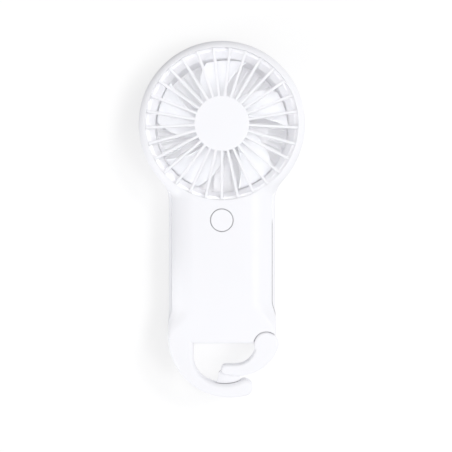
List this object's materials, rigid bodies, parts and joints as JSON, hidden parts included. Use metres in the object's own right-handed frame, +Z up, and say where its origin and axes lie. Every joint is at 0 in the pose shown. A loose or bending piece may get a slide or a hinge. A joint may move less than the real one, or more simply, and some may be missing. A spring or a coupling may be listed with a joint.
{
  "type": "handheld fan",
  "caption": "Slim rechargeable handheld fan with a round slatted head, a flat handle with a push button, and a carabiner hook with a sprung gate at its foot.",
  "frame": {"origin": "under the lowest point of the carabiner hook, half way across the body's width and depth", "axes": "+Z up the handle towards the head, -Y out of the front grille where the air leaves, +X to the right as seen from the front"},
  "size_m": [0.08, 0.027, 0.171],
  "materials": {
    "housing_white": "satin moulded",
    "grille_white": "satin moulded",
    "impeller_white": "smooth moulded",
    "button_white": "satin moulded",
    "gate_white": "satin moulded",
    "motor_steel": "zinc plated",
    "shaft_steel": "ground",
    "screw_steel": "black zinc",
    "spring_steel": "drawn wire",
    "bronze": "sintered",
    "copper": "enamelled wire",
    "ferrite": "pressed",
    "black_plastic": "moulded",
    "natural_plastic": "moulded",
    "rubber": "matt",
    "foam": "closed cell",
    "board_green": "solder mask",
    "cell_foil": "laminated foil",
    "usb_steel": "bright",
    "wire_red": "insulation",
    "wire_black": "insulation"
  },
  "bodies": {
    "housing": {"front_cover": "housing_white", "rear_shell": "housing_white", "front_grille": "grille_white", "housing_screws": "screw_steel", "motor_can": "motor_steel", "motor_end_cap": "black_plastic", "motor_bush_front": "bronze", "motor_bush_rear": "bronze", "motor_magnets": "ferrite", "motor_brushes": "bronze", "motor_terminals": "bronze", "motor_sleeve": "rubber", "motor_retainer": "natural_plastic", "motor_lead_red": "wire_red", "motor_lead_black": "wire_black", "tact_switch_body": "black_plastic", "main_pcb": "board_green", "pcb_screws": "screw_steel", "usb_c_shell": "usb_steel", "usb_c_tongue": "black_plastic", "charger_chip": "black_plastic", "control_chip": "black_plastic", "power_inductor": "ferrite", "pcb_capacitors": "natural_plastic", "battery_cell": "cell_foil", "battery_board": "board_green", "battery_pad": "foam", "battery_lead_red": "wire_red", "battery_lead_black": "wire_black", "gate_pin": "shaft_steel", "gate_spring": "spring_steel"},
    "rotor": {"impeller": "impeller_white", "motor_shaft": "shaft_steel", "motor_armature": "motor_steel", "motor_windings": "copper", "motor_commutator": "copper"},
    "button": {"power_button": "button_white"},
    "plunger": {"tact_switch_plunger": "natural_plastic"},
    "gate": {"carabiner_gate": "gate_white"}
  },
  "joints": [
    {"name": "impeller_spin", "type": "hinge", "parent": "housing", "child": "rotor", "pos_m": [0, 0, 0.131], "axis": [0, -1, 0], "continuous": true},
    {"name": "power_button_press", "type": "slide", "parent": "housing", "child": "button", "axis": [0, 1, 0], "range_m": [0, 0.0005], "stiffness_N_per_m": 1500, "springref_m": -0.0005},
    {"name": "tact_switch_press", "type": "slide", "parent": "housing", "child": "plunger", "axis": [0, 1, 0], "range_m": [0, 0.0005]},
    {"name": "gate_swing", "type": "hinge", "parent": "housing", "child": "gate", "pos_m": [0.0212, 0, 0.0256], "axis": [0, 1, 0], "range_deg": [0, 22], "stiffness_Nm_per_rad": 0.02, "springref_deg": -20.05, "deforming": ["gate_spring"]}
  ],
  "couplings": [
    {"joint": "tact_switch_press", "follows": "power_button_press", "ratio": 1}
  ]
}
